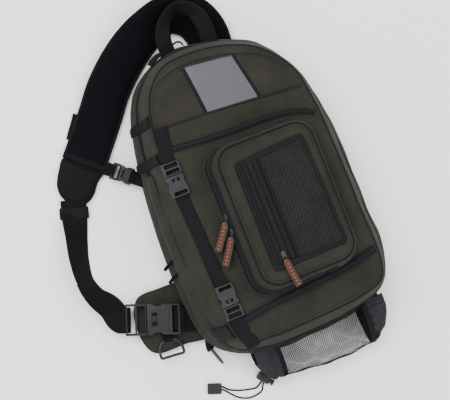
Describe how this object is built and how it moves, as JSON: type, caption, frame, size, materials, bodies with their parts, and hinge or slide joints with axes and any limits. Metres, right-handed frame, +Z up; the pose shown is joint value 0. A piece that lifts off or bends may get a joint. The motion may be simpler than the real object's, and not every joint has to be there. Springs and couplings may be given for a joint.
{
  "type": "fishing tackle sling bag",
  "caption": "Soft one-shoulder sling bag with zipped compartments, a raised mesh-window pocket, side compression strap and a net pouch below.",
  "frame": {"origin": "bottom centre of the box around everything but the free drawcord, on the surface that the bag's back lies on", "axes": "+Z up out of the bag's front panel, +Y towards the carrying handle, +X towards the side away from the strap"},
  "size_m": [0.4434, 0.6008, 0.1451],
  "materials": {
    "olive_cloth": "matt woven polyester",
    "zip_tape": "coated zip tape",
    "webbing": "ribbed webbing",
    "strap_cloth": "black spacer mesh",
    "net": "open net",
    "reflective": "reflective film on cloth",
    "ribbon": "woven ribbon",
    "plastic": "moulded, slightly satin",
    "metal": "dark nickel"
  },
  "bodies": {
    "bag": {"rear_compartment": "olive_cloth", "rear_zip": "zip_tape", "front_compartment": "olive_cloth", "front_panel": "olive_cloth", "upper_zip": "zip_tape", "lower_zip": "zip_tape", "zip_flap": "olive_cloth", "reflective_patch": "reflective", "gusset_band_upper": "zip_tape", "gusset_band_lower": "zip_tape", "gusset_band_corner": "zip_tape", "pocket_shell": "olive_cloth", "pocket_face": "olive_cloth", "pocket_zip": "zip_tape", "pocket_frame": "webbing", "pocket_mesh": "net", "window_zip": "zip_tape", "slider_upper": "metal", "pull_upper": "ribbon", "slider_lower": "metal", "pull_lower": "ribbon", "slider_window": "metal", "pull_window": "ribbon", "upper_buckle_female": "plastic", "upper_buckle_male": "plastic", "lower_buckle_female": "plastic", "lower_buckle_male": "plastic", "compression_web_upper": "webbing", "compression_web_middle": "webbing", "compression_web_lower": "webbing", "grab_handle": "webbing", "shoulder_strap": "strap_cloth", "strap_tip": "strap_cloth", "strap_webbing": "webbing", "keeper_band": "webbing", "hip_wing": "olive_cloth", "hip_buckle_female": "plastic", "hip_buckle_male": "plastic", "hip_web": "webbing", "d_loop": "plastic", "d_loop_tab": "webbing", "chest_buckle_female": "plastic", "chest_buckle_male": "plastic", "chest_web_strap": "webbing", "chest_web_bag": "webbing", "ring_tab": "webbing", "side_ring": "metal", "rear_pull_upper": "webbing", "rear_pull_lower": "webbing", "net_pouch": "net", "pouch_end": "net", "pouch_hem": "net", "cord_lock": "plastic", "drawcord_upper": "webbing", "drawcord_lower": "webbing", "cord_end": "plastic"},
    "plunger": {"cord_lock_plunger": "plastic"}
  },
  "joints": [
    {"name": "plunger_press", "type": "slide", "parent": "bag", "child": "plunger", "axis": [0.6293, -0.7771, 0], "range_m": [-0.003, 0], "stiffness_N_per_m": 400, "springref_m": 0.002}
  ]
}
